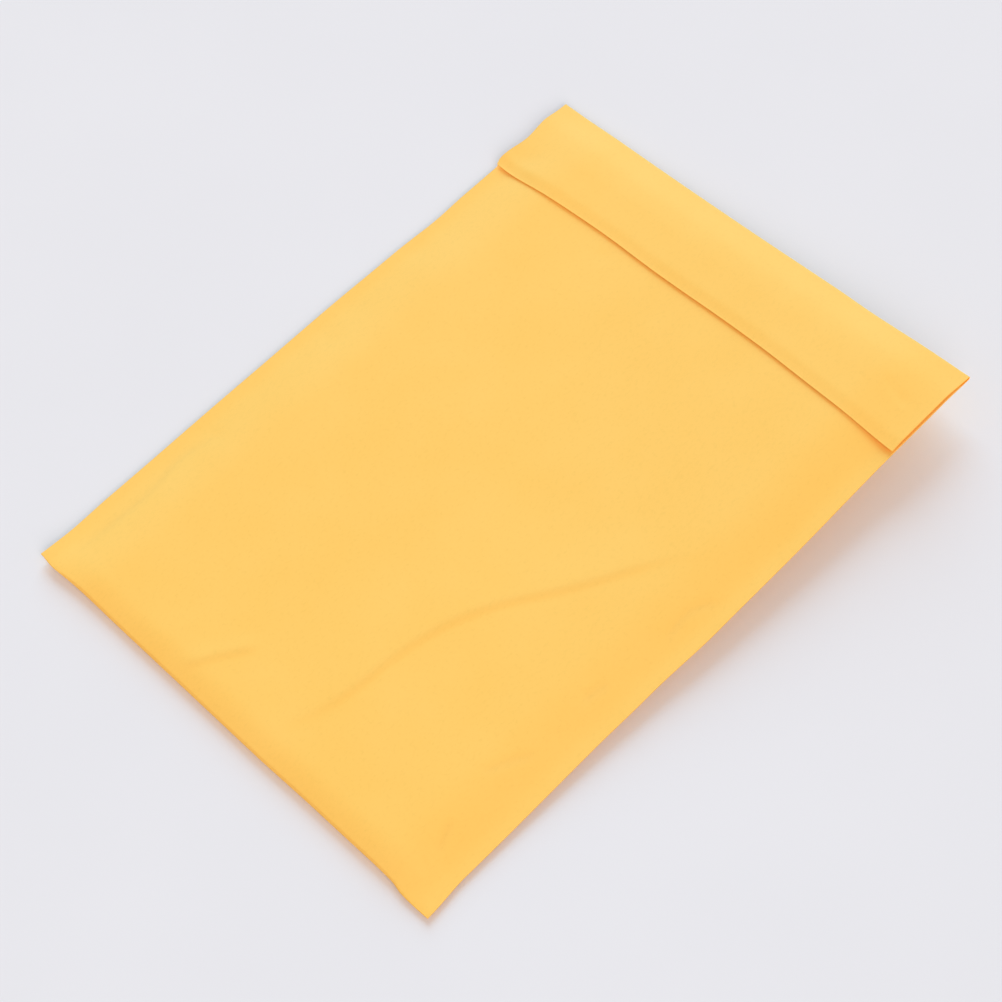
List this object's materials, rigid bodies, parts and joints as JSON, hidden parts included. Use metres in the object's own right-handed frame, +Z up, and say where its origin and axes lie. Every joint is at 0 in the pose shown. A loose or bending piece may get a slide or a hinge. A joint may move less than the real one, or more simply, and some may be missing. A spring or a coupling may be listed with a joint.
{
  "type": "padded envelope",
  "caption": "Padded paper envelope with a bubble lining, lying flat, its flap folded over the front panel and one corner sprung up.",
  "frame": {"origin": "middle of the rectangle that the envelope covers, on the surface that it lies on", "axes": "+X across the envelope's width, +Y along its length from the bottom fold towards the flap's fold, +Z up out of the front panel"},
  "size_m": [0.216, 0.291, 0.0193],
  "materials": {
    "kraft_paper": "matte golden yellow, unprinted",
    "bubble_film": "clear film",
    "hot_melt_adhesive": "tacky, pale cream",
    "release_paper": "smooth coated white"
  },
  "bodies": {
    "root": {"kraft_envelope": "kraft_paper", "bubble_liner": "bubble_film", "adhesive_strip": "hot_melt_adhesive", "release_strip": "release_paper"}
  },
  "joints": []
}
